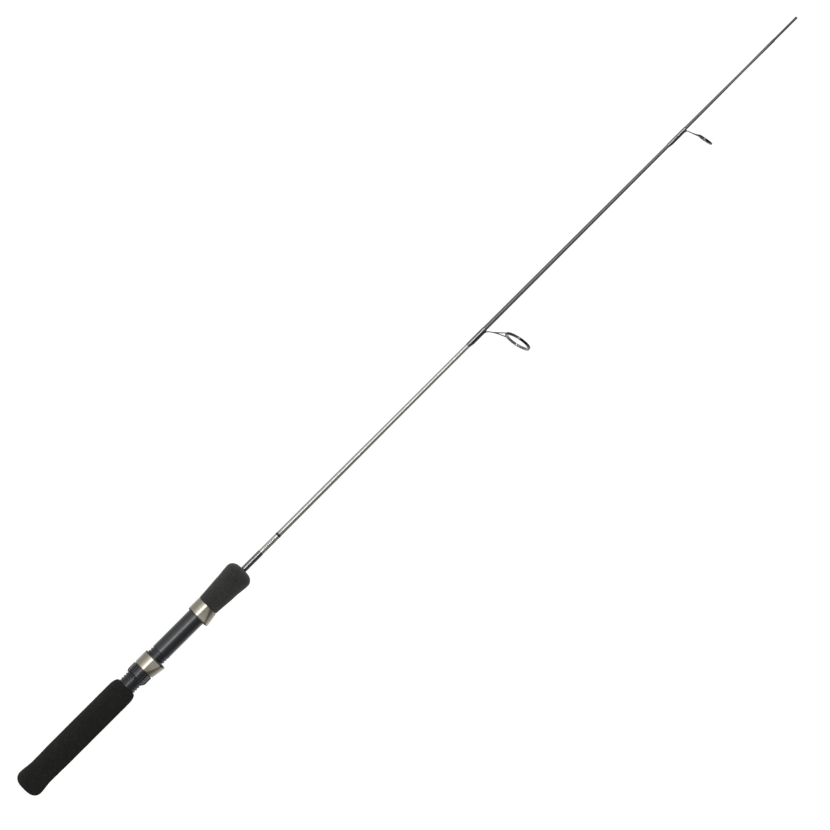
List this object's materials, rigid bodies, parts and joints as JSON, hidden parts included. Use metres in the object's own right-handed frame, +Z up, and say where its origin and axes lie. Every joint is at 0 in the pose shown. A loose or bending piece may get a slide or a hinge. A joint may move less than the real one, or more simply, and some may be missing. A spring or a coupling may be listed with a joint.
{
  "type": "spinning rod",
  "caption": "Butt section of a take-apart spinning rod: foam grips, screw-locked reel seat, tapered blank, wire line guides and a bare spigot that carries the tip section.",
  "frame": {"origin": "centre of the flat butt face of the rear grip", "axes": "+X along the rod from butt to tip, -Y towards the reel's foot and the line guides, +Z up when the rod lies on its side"},
  "size_m": [1.0165, 0.0576, 0.0282],
  "materials": {
    "eva": "fine closed-cell foam, ground matt, black",
    "eva_fore": "fine closed-cell foam, ground matt, charcoal",
    "seat": "moulded graphite-filled nylon, satin",
    "arbor": "wound paper fibre",
    "nut": "moulded nylon, satin",
    "hood": "drawn metal with champagne nickel plate",
    "liner": "moulded nylon, black",
    "blank": "graphite composite, dark grey, satin clear coat",
    "spigot": "ground graphite composite, bare",
    "silver": "silver lacquer under clear coat",
    "label": "silver foil under clear coat",
    "trim": "black wound trim under clear coat",
    "thread": "black nylon winding thread",
    "epoxy": "clear epoxy over black thread, glossy",
    "frame": "smoke-plated steel wire, polished",
    "cushion": "moulded nylon, black",
    "insert": "polished dark ceramic"
  },
  "bodies": {
    "rod": {"blank": "blank", "spigot": "spigot", "rear_grip": "eva", "fore_grip": "eva_fore", "handle_thread_wrap": "thread", "handle_epoxy": "epoxy", "label_band": "label", "trim_ring": "trim", "silver_coat": "silver", "seat_barrel": "seat", "seat_arbor_1": "arbor", "seat_arbor_2": "arbor", "seat_arbor_3": "arbor", "fixed_hood_shell": "hood", "fixed_hood_liner": "liner", "guide_1_frame": "frame", "guide_1_cushion": "cushion", "guide_1_insert": "insert", "guide_1_thread_wrap": "thread", "guide_1_epoxy": "epoxy", "guide_2_frame": "frame", "guide_2_cushion": "cushion", "guide_2_insert": "insert", "guide_2_thread_wrap": "thread", "guide_2_epoxy": "epoxy"},
    "hood": {"sliding_hood_shell": "hood", "sliding_hood_liner": "liner"},
    "nut": {"lock_nut": "nut"}
  },
  "joints": [
    {"name": "hood_slide", "type": "slide", "parent": "rod", "child": "hood", "axis": [1, 0, 0], "range_m": [-0.0103, 0.02]},
    {"name": "nut_turn", "type": "hinge", "parent": "hood", "child": "nut", "pos_m": [0.15, 0, 0], "axis": [1, 0, 0], "range_deg": [-1245, 2410]}
  ],
  "couplings": [
    {"joint": "nut_turn", "follows": "hood_slide", "rad_per_m": 2094.4}
  ]
}
